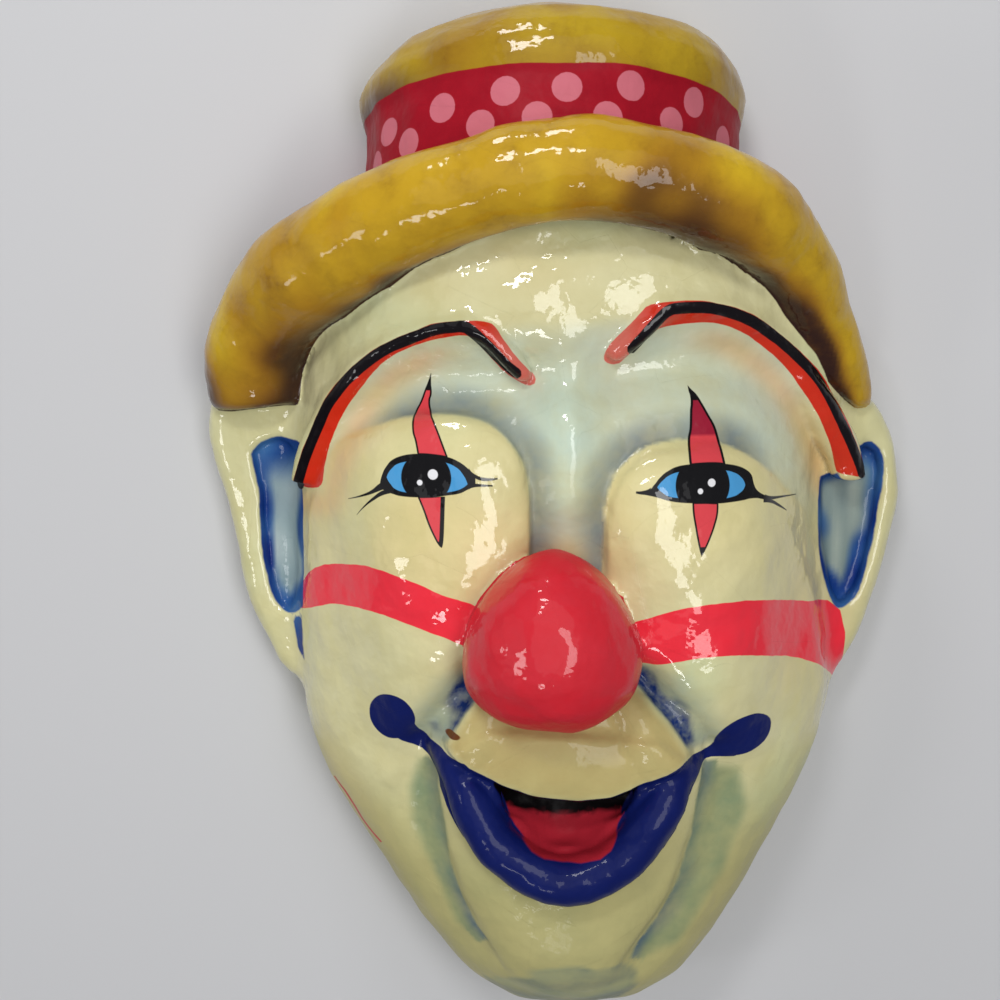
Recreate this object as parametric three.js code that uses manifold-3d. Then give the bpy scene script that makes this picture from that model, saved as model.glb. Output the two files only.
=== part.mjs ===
// Papier-mache clown mask: one hollow moulded shell, lying on its rim with the face up.
// Millimetres. X runs across the face, +Y to the top of the hat, +Z out of the face.
// The rim that rests on the table is the plane z = 0.

import * as THREE from 'three';
import { mergeVertices } from 'three/addons/utils/BufferGeometryUtils.js';
import Module from 'manifold-3d';

const wasm = await Module();
wasm.setup();

// Driving sizes of the head
const WALL = 5;
const CHIN_Y = -250;
const SKULL_TOP_Y = 205;
const JAW_START_Y = -60;
const JAW_HALF_WIDTH = 137;
const TEMPLE_HALF_WIDTH = 132;
const FACE_HEIGHT = 95;
const CHIN_DRIFT = 0.045;
const CHEEK_DRIFT = 2.5;
const JAW_ROUNDING = 0.48;
const JAW_FULLNESS = 4;
const JAW_WAVE = 0.85;
const SIDE_POWER = 3;
const HOLLOW_RELIEF = 0.85;
const FRONT_POWER = 2.6;

// Cheeks: side, centre x, centre y, half width, half length
const CHEEK_HEIGHT = 19;
const CHEEKS = [
  { side: -1, x: -64, y: -24, rx: 51, ry: 88 },
  { side: 1, x: 71, y: -38, rx: 52, ry: 86 },
];

// Grooves beside the nose and round the jaw, with depth and half width
const GROOVES = [
  { depth: 8, reach: 9, path: [[-40, -56], [-52, -76], [-63, -92]] },
  { depth: 8, reach: 9, path: [[36, -58], [48, -76], [64, -94]] },
  { depth: 7, reach: 11, path: [[-66, -104], [-64, -135], [-55, -165], [-36, -200]] },
  { depth: 7, reach: 11, path: [[80, -104], [80, -140], [64, -172], [42, -203]] },
];

// Swellings of the face: height, centre and half sizes
const MUZZLE = { height: 15, x: 3, y: -96, rx: 66, ry: 36 };
const JAW_LOBE = { height: 8, x: 9, y: -150, rx: 74, ry: 78 };
const CHIN = { height: 7, x: 10, y: -210, rx: 34, ry: 24 };
const BRIDGE = { height: 10, x: 3, reach: 15, foot: -5, top: 112, ends: 32 };

// Trough of the eye sockets and swelling of the forehead, measured from the brow line
const SOCKET = { depth: 11, below: 25, reach: 15 };
const BROW_SWELLING = { height: 4, above: 6, reach: 22 };
const SOCKET_X = 6;
const SOCKET_FULL = 92;
const SOCKET_END = 128;

// Brow crests, from the outer end over the peak to the inner tip
const BROW_WIDTH = 9;
const BROW_HEIGHT = 5;
const BROWS = [
  [[-124, 25], [-117, 46], [-104, 69], [-86, 87], [-62, 99], [-37, 103], [-16, 79]],
  [[147, 31], [139, 47], [124, 68], [104, 89], [78, 104], [46, 110], [23, 89]],
];

// Nose ball, narrower at the top, and how much deeper its hollow sits, for a wide way in
const NOSE_CENTRE = new THREE.Vector3(-4, -36, 120);
const NOSE_RADII = new THREE.Vector3(39, 41, 40);
const NOSE_TAPER = 0.0068;
const NOSE_HOLLOW_DROP = 5;

// Mouth
const MOUTH_CENTRE = new THREE.Vector3(3, -127, 113);
const MOUTH_RADII = new THREE.Vector3(32, 19, 26);
const LIP_PATH = [
  [-63, -90, 100, 3.5],
  [-54, -107, 105, 8.5],
  [-42, -130, 108, 12],
  [-20, -149, 109, 13.5],
  [6, -155, 109, 14],
  [30, -149, 109, 13.5],
  [51, -126, 108, 12],
  [60, -108, 105, 8],
  [67, -96, 100, 3.5],
];

// Hat: brim roll as x, y, z and radius from the left temple over the forehead, then the crown
const BRIM_PATH = [
  [-145, 60, 26, 25],
  [-147, 88, 34, 26],
  [-132, 115, 52, 26],
  [-106, 134, 76, 26],
  [-68, 153, 95, 23],
  [-10, 167, 107, 22],
  [40, 165, 106, 22],
  [84, 150, 91, 24],
  [105, 131, 73, 22],
  [120, 106, 54, 20],
  [132, 78, 34, 20],
  [137, 60, 26, 19],
];
const CROWN_BASE = new THREE.Vector3(-6, 140, 28);
const CROWN_TILT = THREE.MathUtils.degToRad(15);
const CROWN_LEAN = 0.06;
const CROWN_DEPTH_RATIO = 0.95;
const CROWN_BAND_RADIUS = 92;
const CROWN_BULGE_RADIUS = 95.5;
const CROWN_BAND_TOP = 56;
const CROWN_TOP = 96;

// Ears
const LEFT_EAR = [
  [-116, 66], [-146, 72], [-170, 68], [-174, 44], [-168, 16], [-162, -6],
  [-158, -30], [-150, -52], [-136, -75], [-114, -72],
];
const RIGHT_EAR = [
  [116, 66], [140, 70], [160, 63], [171, 42], [174, 18], [170, -6],
  [164, -30], [156, -52], [141, -75], [114, -72],
];
const EAR_POINTS = 26;
const EAR_BACK = 4;
const EAR_THICKNESS = 29;
const EAR_EDGE = 7;
const EAR_HOLLOW_DEPTH = 8;

// Fineness of the faceted surfaces
const FACE_COLUMNS = 40;
const FACE_ROWS = 48;
const HOLLOW_COLUMNS = 20;
const HOLLOW_ROWS = 22;

const PAPER = new THREE.MeshStandardMaterial({ color: 0xe0d7a2, roughness: 0.25, metalness: 0 });

const clamp01 = (v) => Math.min(1, Math.max(0, v));

function smoothstep(from, to, v) {
  const t = clamp01((v - from) / (to - from));
  return t * t * (3 - 2 * t);
}

const bump = (v) => Math.exp(-v * v);

function distanceToPath(x, y, path) {
  let nearest = Infinity;
  for (let i = 0; i < path.length - 1; i += 1) {
    const [ax, ay] = path[i];
    const [dx, dy] = [path[i + 1][0] - ax, path[i + 1][1] - ay];
    const share = clamp01(((x - ax) * dx + (y - ay) * dy) / (dx * dx + dy * dy));
    nearest = Math.min(nearest, Math.hypot(x - ax - share * dx, y - ay - share * dy));
  }
  return nearest;
}

// Outline and centre height of the plain head at a height y on the face
function headHalfWidth(y) {
  if (y < JAW_START_Y) {
    const t = (JAW_START_Y - y) / (JAW_START_Y - CHIN_Y);
    const wave = JAW_FULLNESS * Math.sin((2 * Math.PI * t) / JAW_WAVE) * clamp01(6 - 6 * t);
    return JAW_HALF_WIDTH * Math.pow(clamp01(1 - Math.pow(t, 1.4)), JAW_ROUNDING) + wave;
  }
  const jawShare = smoothstep(0, JAW_START_Y, y);
  const straight = TEMPLE_HALF_WIDTH + (JAW_HALF_WIDTH - TEMPLE_HALF_WIDTH) * jawShare;
  const dome = clamp01(1 - Math.pow(Math.max(y, 0) / SKULL_TOP_Y, 3));
  return straight * Math.sqrt(dome);
}

function headHeight(y) {
  if (y < 0) {
    const t = Math.max(JAW_START_Y - y, 0) / (JAW_START_Y - CHIN_Y);
    return FACE_HEIGHT * Math.pow(clamp01(1 - Math.pow(t, 6)), 0.45);
  }
  return FACE_HEIGHT * Math.sqrt(clamp01(1 - Math.pow(y / SKULL_TOP_Y, 8)));
}

const headAxis = (y) => CHIN_DRIFT * Math.max(-y, 0) + CHEEK_DRIFT * bump((y + 75) / 35);

// Height of the brow crest line at x, as two arches
function browLine(x) {
  const points = BROWS[x < SOCKET_X ? 0 : 1].slice().sort((a, b) => a[0] - b[0]);
  const cx = Math.min(Math.max(x, points[0][0]), points[points.length - 1][0]);
  let i = 0;
  while (i < points.length - 2 && points[i + 1][0] < cx) i += 1;
  const share = (cx - points[i][0]) / (points[i + 1][0] - points[i][0]);
  return points[i][1] + share * (points[i + 1][1] - points[i][1]);
}

// 1 at the centre of an ellipse, falling to 0 at its edge and beyond
const insideShare = (x, y, { x: cx, y: cy, rx, ry }) =>
  clamp01(1 - ((x - cx) / rx) ** 2 - ((y - cy) / ry) ** 2);

// Relief of the face, added to the plain head
function faceRelief(x, y) {
  let z = 0;
  for (const cheek of CHEEKS) {
    const u = (x - cheek.x) / cheek.rx;
    const v = (y - cheek.y) / cheek.ry;
    const crispness = clamp01(0.5 - 0.5 * cheek.side * u + 0.35 * v);
    z += CHEEK_HEIGHT * Math.pow(insideShare(x, y, cheek), 1.5 - crispness);
  }
  const overSockets = smoothstep(SOCKET_END, SOCKET_FULL, Math.abs(x - SOCKET_X));
  const aboveBrow = y - browLine(x);
  z -= SOCKET.depth * overSockets * bump((aboveBrow + SOCKET.below) / SOCKET.reach);
  z += BROW_SWELLING.height * overSockets
    * bump((aboveBrow - BROW_SWELLING.above) / BROW_SWELLING.reach);
  const bridge = smoothstep(BRIDGE.foot, BRIDGE.foot + BRIDGE.ends, y)
    * smoothstep(BRIDGE.top, BRIDGE.top - BRIDGE.ends, y);
  z += BRIDGE.height * bridge * bump((x - BRIDGE.x) / BRIDGE.reach);
  z += MUZZLE.height * Math.sqrt(insideShare(x, y, MUZZLE));
  z += JAW_LOBE.height * Math.pow(insideShare(x, y, JAW_LOBE), 0.7);
  z += CHIN.height * bump((x - CHIN.x) / CHIN.rx) * bump((y - CHIN.y) / CHIN.ry);
  for (const { depth, reach, path } of GROOVES) {
    z -= depth * bump(distanceToPath(x, y, path) / reach);
  }
  return z;
}

// Rounded section of the head: 1 on its axis, 0 at the rim, where t is -1 or 1
function archShape(t) {
  return Math.pow(clamp01(1 - Math.pow(Math.abs(t), SIDE_POWER)), 1 / FRONT_POWER);
}

// One slice of the head at a height y: the arc over the face, closed along the floor
function headRing(y, inset, floor, columns) {
  const halfWidth = Math.max(headHalfWidth(y) - inset, 0.5);
  const height = Math.max(headHeight(y) - 1.2 * inset, 0.5);
  const ring = [];
  for (let j = 0; j <= columns; j += 1) {
    const t = Math.sin(((2 * j) / columns - 1) * Math.PI / 2);
    const x = headAxis(y) + halfWidth * t;
    const fade = (1 - Math.pow(t, 6)) * clamp01(height / 40);
    const relief = inset > 0 ? HOLLOW_RELIEF * faceRelief(x, y) - WALL / 2 : faceRelief(x, y);
    ring.push(new THREE.Vector3(x, y, Math.max(height * archShape(t) + fade * relief, 0)));
  }
  if (floor < 0) {
    ring.push(new THREE.Vector3(headAxis(y) + halfWidth, y, floor));
    ring.unshift(new THREE.Vector3(headAxis(y) - halfWidth, y, floor));
  }
  return ring;
}

function headGeometry(inset, floor, columns, rows) {
  const low = CHIN_Y + inset + 0.2;
  const high = SKULL_TOP_Y - inset - 0.2;
  const rings = [];
  for (let i = 0; i <= rows; i += 1) {
    const even = i / rows;
    const eased = 0.5 - 0.5 * Math.cos(even * Math.PI);
    rings.push(headRing(low + (high - low) * (0.6 * even + 0.4 * eased), inset, floor, columns));
  }
  return loft(rings);
}

// Closed solid through rings of equal point counts, its two ends fanned shut
function loft(rings) {
  const count = rings[0].length;
  const points = rings.flat();
  const faces = [];
  for (let i = 0; i < rings.length - 1; i += 1) {
    for (let j = 0; j < count; j += 1) {
      const a = i * count + j;
      const b = i * count + ((j + 1) % count);
      faces.push(a, b, b + count, a, b + count, a + count);
    }
  }
  const ends = [
    { ring: rings[0], base: 0, flip: true },
    { ring: rings[rings.length - 1], base: (rings.length - 1) * count, flip: false },
  ];
  for (const { ring, base, flip } of ends) {
    const middle = ring.reduce((sum, p) => sum.add(p), new THREE.Vector3()).divideScalar(count);
    const centre = points.push(middle) - 1;
    for (let j = 0; j < count; j += 1) {
      const a = base + j;
      const b = base + ((j + 1) % count);
      faces.push(...(flip ? [centre, b, a] : [centre, a, b]));
    }
  }
  const geometry = new THREE.BufferGeometry().setFromPoints(points);
  geometry.setIndex(faces);
  return geometry;
}

// Roll along a path of x, y, z and radius, its height a share of its width
function rollGeometry(path, steps, sides, heightShare = 1) {
  const curve = new THREE.CatmullRomCurve3(path.map(([x, y, z]) => new THREE.Vector3(x, y, z)));
  const radii = new THREE.CatmullRomCurve3(path.map(([, , , r], i) => new THREE.Vector3(i, r, 0)));
  const rings = [];
  for (let i = 0; i <= steps; i += 1) {
    const centre = curve.getPoint(i / steps);
    const radius = radii.getPoint(i / steps).y;
    const along = curve.getTangent(i / steps);
    const across = new THREE.Vector3(0, 0, 1).cross(along).normalize();
    const up = new THREE.Vector3().crossVectors(along, across);
    const ring = [];
    for (let j = 0; j < sides; j += 1) {
      const angle = (2 * Math.PI * j) / sides;
      ring.push(centre.clone()
        .addScaledVector(across, radius * Math.cos(angle))
        .addScaledVector(up, radius * heightShare * Math.sin(angle)));
    }
    rings.push(ring);
  }
  return loft(rings);
}

function crownGeometry(inset, sides) {
  const band = CROWN_BAND_RADIUS - inset;
  const bulge = CROWN_BULGE_RADIUS - inset;
  const top = CROWN_TOP - inset;
  const foot = -8 + 2.4 * inset;
  const profile = [
    [0, foot],
    [band - 2, foot],
    [band, CROWN_BAND_TOP - 2],
    [bulge - 1, CROWN_BAND_TOP + 5],
    [bulge, CROWN_BAND_TOP + 14],
    [bulge - 3, top - 17],
    [bulge - 10, top - 8],
    [bulge - 22, top - 2],
    [bulge - 40, top],
    [0, top],
  ];
  const geometry = new THREE.LatheGeometry(profile.map(([r, s]) => new THREE.Vector2(r, s)), sides);
  return geometry.scale(1, 1, CROWN_DEPTH_RATIO)
    .applyMatrix4(new THREE.Matrix4().makeShear(0, 0, CROWN_LEAN, 0, 0, 0))
    .rotateX(-CROWN_TILT)
    .translate(...CROWN_BASE);
}

function ballGeometry(centre, radii, inset, across, down) {
  return new THREE.SphereGeometry(1, across, down)
    .rotateX(Math.PI / 2)
    .scale(radii.x - inset, radii.y - inset, radii.z - inset)
    .translate(...centre);
}

// Egg-shaped nose, or its hollow where inset is above 0
function noseGeometry(inset, across, down) {
  const centre = NOSE_CENTRE.clone();
  if (inset > 0) centre.z -= NOSE_HOLLOW_DROP;
  const geometry = ballGeometry(centre, NOSE_RADII, inset, across, down);
  const place = geometry.attributes.position;
  for (let i = 0; i < place.count; i += 1) {
    const narrowing = 1 - NOSE_TAPER * (place.getY(i) - centre.y);
    place.setX(i, centre.x + (place.getX(i) - centre.x) * narrowing);
  }
  return geometry;
}

// Ear flap, its edges rounded by slices that draw in towards the middle
function earGeometry(outline) {
  const corners = outline.map(([x, y]) => new THREE.Vector3(x, y, 0));
  const edge = new THREE.CatmullRomCurve3(corners, true).getPoints(EAR_POINTS).slice(0, EAR_POINTS);
  const middle = edge.reduce((sum, p) => sum.add(p), new THREE.Vector3()).divideScalar(EAR_POINTS);
  const slices = [
    [EAR_BACK, 0.9],
    [EAR_BACK + EAR_EDGE, 1],
    [EAR_BACK + EAR_THICKNESS - EAR_EDGE, 1],
    [EAR_BACK + EAR_THICKNESS - 0.3 * EAR_EDGE, 0.94],
    [EAR_BACK + EAR_THICKNESS, 0.84],
  ];
  return loft(slices.map(([z, size]) => edge.map((p) => p.clone().lerp(middle, 1 - size).setZ(z))));
}

// Ear with its front hollowed out, on one side (-1 or 1)
function earSolid(side) {
  return solid(earGeometry(side < 0 ? LEFT_EAR : RIGHT_EAR)).subtract(solid(earHollowGeometry(side)));
}

function earHollowGeometry(side) {
  const top = EAR_BACK + EAR_THICKNESS;
  return new THREE.SphereGeometry(1, 14, 8)
    .rotateX(Math.PI / 2)
    .scale(17, 46, EAR_HOLLOW_DEPTH)
    .rotateZ(side * 0.06)
    .translate(side * 140, -2, top);
}

// Brow ridge, half sunk in the face along its crest line
function browGeometry(points) {
  const path = points.map(([x, y]) => [x, y, surfaceHeight(x, y) - 1, BROW_WIDTH / 2]);
  return rollGeometry(path, 20, 8, BROW_HEIGHT / (BROW_WIDTH / 2));
}

// Height of the moulded face at x, y
function surfaceHeight(x, y) {
  const t = (x - headAxis(y)) / headHalfWidth(y);
  return headHeight(y) * archShape(t) + (1 - Math.pow(t, 6)) * faceRelief(x, y);
}

// Solid from a closed geometry, turned outside out where its faces point in
function solid(geometry) {
  const bare = geometry.clone();
  bare.deleteAttribute('normal');
  bare.deleteAttribute('uv');
  const merged = mergeVertices(bare, 1e-4);
  const place = merged.attributes.position;
  const corners = merged.index.array;
  const [a, b, c] = [new THREE.Vector3(), new THREE.Vector3(), new THREE.Vector3()];
  const kept = [];
  let volume = 0;
  for (let i = 0; i < corners.length; i += 3) {
    const [p, q, r] = [corners[i], corners[i + 1], corners[i + 2]];
    if (p === q || q === r || p === r) continue;
    kept.push(p, q, r);
    a.fromBufferAttribute(place, p);
    b.fromBufferAttribute(place, q);
    c.fromBufferAttribute(place, r);
    volume += a.dot(b.cross(c));
  }
  if (volume < 0) kept.reverse();
  return new wasm.Manifold(new wasm.Mesh({
    numProp: 3,
    vertProperties: new Float32Array(place.array),
    triVerts: new Uint32Array(kept),
  }));
}

function namedMesh(name, body, material) {
  const data = body.getMesh();
  const geometry = new THREE.BufferGeometry();
  geometry.setAttribute('position', new THREE.BufferAttribute(data.vertProperties, 3));
  geometry.setIndex(new THREE.BufferAttribute(data.triVerts, 1));
  geometry.computeVertexNormals();
  const mesh = new THREE.Mesh(geometry, material);
  mesh.name = name;
  return mesh;
}

// The moulded outside
let outside = solid(headGeometry(0, 0, FACE_COLUMNS, FACE_ROWS))
  .add(solid(rollGeometry(BRIM_PATH, 28, 12)))
  .add(solid(crownGeometry(0, 34)))
  .add(solid(noseGeometry(0, 22, 15)))
  .add(solid(rollGeometry(LIP_PATH, 18, 8)))
  .add(earSolid(-1))
  .add(earSolid(1));
for (const brow of BROWS) outside = outside.add(solid(browGeometry(brow)));
outside = outside.subtract(solid(ballGeometry(MOUTH_CENTRE, MOUTH_RADII, 0, 18, 10)));
const FLOOR = new THREE.BoxGeometry(600, 800, 200).translate(0, 0, -100);
outside = outside.subtract(solid(FLOOR));

// The hollow behind the face, one wall thickness inside it
const hollow = solid(headGeometry(WALL, -4, HOLLOW_COLUMNS, HOLLOW_ROWS))
  .add(solid(crownGeometry(WALL, 24)))
  .add(solid(noseGeometry(WALL, 16, 10)))
  .subtract(solid(ballGeometry(MOUTH_CENTRE, MOUTH_RADII, -WALL, 16, 10)));

const mask = new THREE.Group();
mask.add(namedMesh('clown_mask', outside.subtract(hollow), PAPER));

export default mask;
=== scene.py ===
import math
from functools import reduce
import bpy
import numpy as np
from mathutils import Matrix, Vector
from mathutils.geometry import delaunay_2d_cdt
from numpy import clip, hypot, maximum, minimum, sqrt, where


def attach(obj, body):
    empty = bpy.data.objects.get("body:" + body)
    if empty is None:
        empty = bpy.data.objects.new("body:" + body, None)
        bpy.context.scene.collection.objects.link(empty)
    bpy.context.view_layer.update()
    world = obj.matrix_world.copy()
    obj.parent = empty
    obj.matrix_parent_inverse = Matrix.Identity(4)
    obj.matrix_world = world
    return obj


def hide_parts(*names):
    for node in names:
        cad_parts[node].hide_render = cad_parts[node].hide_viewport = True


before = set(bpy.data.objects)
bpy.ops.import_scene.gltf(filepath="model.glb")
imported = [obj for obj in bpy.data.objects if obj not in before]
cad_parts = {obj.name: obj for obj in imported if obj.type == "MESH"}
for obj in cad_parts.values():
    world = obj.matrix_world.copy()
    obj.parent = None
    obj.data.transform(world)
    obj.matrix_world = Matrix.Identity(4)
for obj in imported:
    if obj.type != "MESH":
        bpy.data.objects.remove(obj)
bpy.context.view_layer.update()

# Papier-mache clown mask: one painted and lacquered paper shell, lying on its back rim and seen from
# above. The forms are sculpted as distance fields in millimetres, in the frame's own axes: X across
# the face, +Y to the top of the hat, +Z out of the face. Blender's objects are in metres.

MM = 0.001
# Grid spacing of the outside and of the hollow
CELL, HOLLOW_CELL = ((2.15, 4.6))

# Driving sizes of the head, the same as in the solid
WALL = 5
CHIN_Y = -250
SKULL_TOP_Y = 205
JAW_START_Y = -60
JAW_HALF_WIDTH = 137
TEMPLE_HALF_WIDTH = 132
FACE_HEIGHT = 95
CHIN_DRIFT = 0.045
CHEEK_DRIFT = 2.5
JAW_ROUNDING = 0.48
JAW_FULLNESS = 4
JAW_WAVE = 0.85
SIDE_POWER = 3
FRONT_POWER = 2.6
HOLLOW_RELIEF = 0.85

# Cheeks: side, centre and half sizes, and how far they stand out
CHEEK_HEIGHT = 19
CHEEKS = [
    {"side": -1, "x": -62, "y": -24, "rx": 49, "ry": 88},
    {"side": 1, "x": 69, "y": -38, "rx": 50, "ry": 86},
]

# Brow crests, from the outer end over the peak to the inner tip
BROWS = [
    [(-130, 20), (-123, 42), (-110, 67), (-94, 84.5), (-76, 96), (-56, 102.5), (-43, 103)],
    [(152, 27), (147, 43), (134, 65), (117, 85), (98, 101), (76, 111), (55, 112.5), (45, 110)],
]
BROW_HEIGHT = 4.5
BROW_REACH = 5
# Inner arms of the brows and their outer ends, as x, y, z and radius
BROW_ARMS = [
    [(-44, 103, 96, 4), (-32, 98, 95.5, 5), (-17, 81.5, 91, 5)],
    [(47, 110, 95, 4), (36, 101.5, 94.5, 5), (25.5, 91.5, 90, 5)],
]
BROW_ENDS = [
    [(-95, 78.5, 76, 5), (-109.5, 60, 64, 7), (-118, 41, 55, 8), (-123.5, 22, 50, 8)],
    [(106, 88, 62, 5), (121, 70, 54, 8), (134, 51, 46, 9), (142, 37, 41, 9), (145, 22, 39, 9)],
]
BROW_FOOT_Y = 26
# Fuller right temple between the brow and the brim
RIGHT_TEMPLE = [
    (88, 116, 62, 15), (105, 102, 50, 16), (116, 87, 42, 16.5), (125, 70, 34, 15), (131, 52, 27, 12),
]
# Crisp upper edges of the mounds that the eyes are painted on
MOUNDS = [
    [(-112, 38), (-104, 48), (-94, 53.5), (-84, 57), (-74, 60.5), (-55.5, 63), (-37, 60.4), (-25.7, 53),
     (-18, 42), (-15, 29), (-14.5, 10), (-15.5, -3), (-21, -18), (-40, -40), (-90, -60), (-125, -10)],
    [(18, -18), (19.5, -4), (20, 12), (21, 25.5), (24.5, 35), (30, 42), (38, 47.7), (47, 50.3),
     (57.3, 51.2), (69.6, 49.8), (79.2, 47.2), (89, 41.9), (98, 35), (106, 27), (125, 0), (100, -60),
     (50, -60), (30, -40)],
]
MOUND_STEP = 2.2
SOCKET_X = 6

# Edge of the raised lip and chin plate, and edge of the upper lip pad
CHIN_PLATE = [
    (-60, -96), (-57, -122), (-54, -145), (-47, -168), (-33, -197), (-12, -228), (8, -240), (24, -226),
    (30, -203), (53, -168), (63, -137), (68, -103), (45, -84), (-34, -80),
]
LIP_PAD = [
    (-32, -58), (-44, -74), (-54, -90), (-42, -100), (-28, -107), (-12, -112), (8, -114), (24, -112),
    (36, -107), (50, -101), (61, -94), (50, -78), (34, -60), (4, -50),
]

# Grooves as depth, reach and path
GROOVES = [
    (8, 8, [(-40, -56), (-52, -74), (-64, -90)]),
    (8, 8, [(37, -58), (52, -76), (68, -93)]),
    (6, 12, [(-66, -104), (-64, -135), (-57, -163), (-40, -198)]),
    (6, 12, [(77, -106), (74, -140), (61, -172), (40, -202)]),
    (2, 3.5, [(-74, -114), (-79, -130), (-88, -146)]),
    (1.6, 3, [(-82, -120), (-86, -134), (-92, -146)]),
]

NOSE_CENTRE = (-4, -36, 120)
NOSE_RADII = (39, 41, 40)
NOSE_TAPER = 0.0068

MOUTH_CENTRE = (3, -127, 113)
MOUTH_RADII = (32, 19, 26)
# The opening itself, wider above, and the gap that runs on under the upper lip
MOUTH_OPENING = {"centre": (3, -115, 113), "radii": (32, 33, 25), "taper": -0.014}
MOUTH_LOWEST_Y = -139.5
MOUTH_GAP = {"centre": (3, -116, 100), "radii": (32, 15, 10), "taper": 0}
PAD_UNDERSIDE_Z = 102
LIP_PATH = [
    (-60, -93, 89, 2.5), (-46, -108, 103, 8.5), (-37.5, -125, 106, 10.8), (-24.5, -142, 108, 11),
    (3, -154, 109, 11.5), (32, -141, 108, 10.8), (45, -122.5, 106, 11), (53.5, -106, 103, 7.5),
    (64.5, -96, 90, 2.5),
]

# Hat: brim roll as x, y, z and radius from the left temple over the forehead, then the crown
BRIM_PATH = [
    (-145, 60, 26, 25), (-147, 88, 34, 26), (-132, 115, 52, 26), (-106, 134, 76, 26), (-68, 154, 95, 23),
    (-10, 170.5, 107, 22), (40, 169, 106, 22), (84, 153, 91, 23), (106, 135, 73, 20), (122, 112, 56, 17),
    (134, 88, 42, 15), (141, 68, 30, 15), (143, 60, 26, 14),
]
BRIM_FOOT_Y = 62
CROWN_BASE = (-6, 140, 28)
CROWN_TILT = math.radians(15)
CROWN_LEAN = 0.06
CROWN_DEPTH_RATIO = 0.95
CROWN_BAND_RADIUS = 92
CROWN_BULGE_RADIUS = 95.5
CROWN_BAND_TOP = 56
CROWN_TOP = 96

# Left ear, then right ear: the flap's outline and the edge of its blue hollow
EARS = [
    [(-110, 66), (-146, 72), (-170, 68), (-174, 44), (-168, 16), (-162, -6), (-158, -30), (-150, -52),
     (-136, -75), (-110, -76)],
    [(110, 66), (140, 70), (160, 63), (171, 42), (174, 18), (170, -6), (164, -30), (156, -52), (141, -75),
     (110, -76)],
]
EAR_BACK = 4
EAR_FRONT = 33
EAR_HOLLOW_DEPTHS = (6, 8)
EAR_BLUES = [
    [(-153, 39), (-147, 44), (-138, 47), (-127, 45), (-120, 41), (-121, 8), (-124, -25), (-126, -37),
     (-134, -42), (-140, -39), (-144, -31), (-147, -16), (-148.5, 0), (-149, 18)],
    [(131, 27), (141, 32), (154.5, 44), (162, 40), (165, 29.5), (163, 14.5), (161, -1), (158, -16),
     (154, -31), (148, -38.5), (142.5, -40), (138, -33), (133.5, -20), (131, -8), (130.5, 9)],
]


def ramp(low, high, value):
    """Smooth step from 0 at low to 1 at high."""
    t = clip((value - low) / (high - low), 0, 1)
    return t * t * (3 - 2 * t)


def bump(value):
    return np.exp(-value * value)


def smooth_union(a, b, blend):
    share = clip(0.5 + 0.5 * (b - a) / blend, 0, 1)
    return b + (a - b) * share - blend * share * (1 - share)


def smooth_cut(a, b, blend):
    return -smooth_union(-a, b, blend)


def curve_points(points, steps):
    """Catmull-Rom curve through points, as an array."""
    p = np.array(points, float)
    p = np.vstack([2 * p[0] - p[1], p, 2 * p[-1] - p[-2]])
    out = []
    for i in range(1, len(p) - 2):
        for t in np.linspace(0, 1, steps, endpoint=False):
            out.append(0.5 * (2 * p[i] + (p[i + 1] - p[i - 1]) * t
                              + (2 * p[i - 1] - 5 * p[i] + 4 * p[i + 1] - p[i + 2]) * t ** 2
                              + (3 * p[i] - p[i - 1] - 3 * p[i + 1] + p[i + 2]) * t ** 3))
    out.append(p[-2])
    return np.array(out)


def path_distance(x, y, path, signed=False):
    """Distance in the plane to a path. A signed one runs on past its ends, above 0 on its left."""
    nearest = None
    for number, ((ax, ay), (bx, by)) in enumerate(zip(path[:-1], path[1:])):
        dx, dy = bx - ax, by - ay
        share = ((x - ax) * dx + (y - ay) * dy) / (dx * dx + dy * dy)
        first, last = signed and number == 0, signed and number == len(path) - 2
        share = clip(share, -9 if first else 0, 9 if last else 1)
        far = hypot(x - ax - share * dx, y - ay - share * dy)
        if signed:
            far = where(dx * (y - ay) - dy * (x - ax) > 0, far, -far)
        nearest = far if nearest is None else where(abs(far) < abs(nearest), far, nearest)
    return nearest


def outline_distance(x, y, outline):
    """Signed distance in the plane to a closed outline, negative inside."""
    ring = list(outline) + [outline[0]]
    edge = path_distance(x, y, ring)
    inside = np.zeros(np.broadcast(x, y).shape, bool)
    for (ax, ay), (bx, by) in zip(ring[:-1], ring[1:]):
        if ay != by:
            spans = (ay > y) != (by > y)
            inside ^= spans & (x < (bx - ax) * (y - ay) / (by - ay) + ax)
    return where(inside, -edge, edge)


def rounded_distance(x, y, outlines):
    """Signed distance to the nearer of two outlines with eased corners."""
    return minimum(*(outline_distance(x, y, curve_points(o + o[:1], 3)[:-1]) for o in outlines))


def lumps(x, y, z, size, seed, waves=26):
    """Soft random lumps, about -1 to 1, with a typical width of size."""
    rng = np.random.default_rng(seed)
    total = 0.0
    for _ in range(waves):
        way = rng.normal(size=3)
        way *= rng.uniform(0.6, 1.4) * math.pi / size / np.linalg.norm(way)
        total = total + np.sin(way[0] * x + way[1] * y + way[2] * z + rng.uniform(0, 2 * math.pi))
    return total / math.sqrt(waves)


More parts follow.
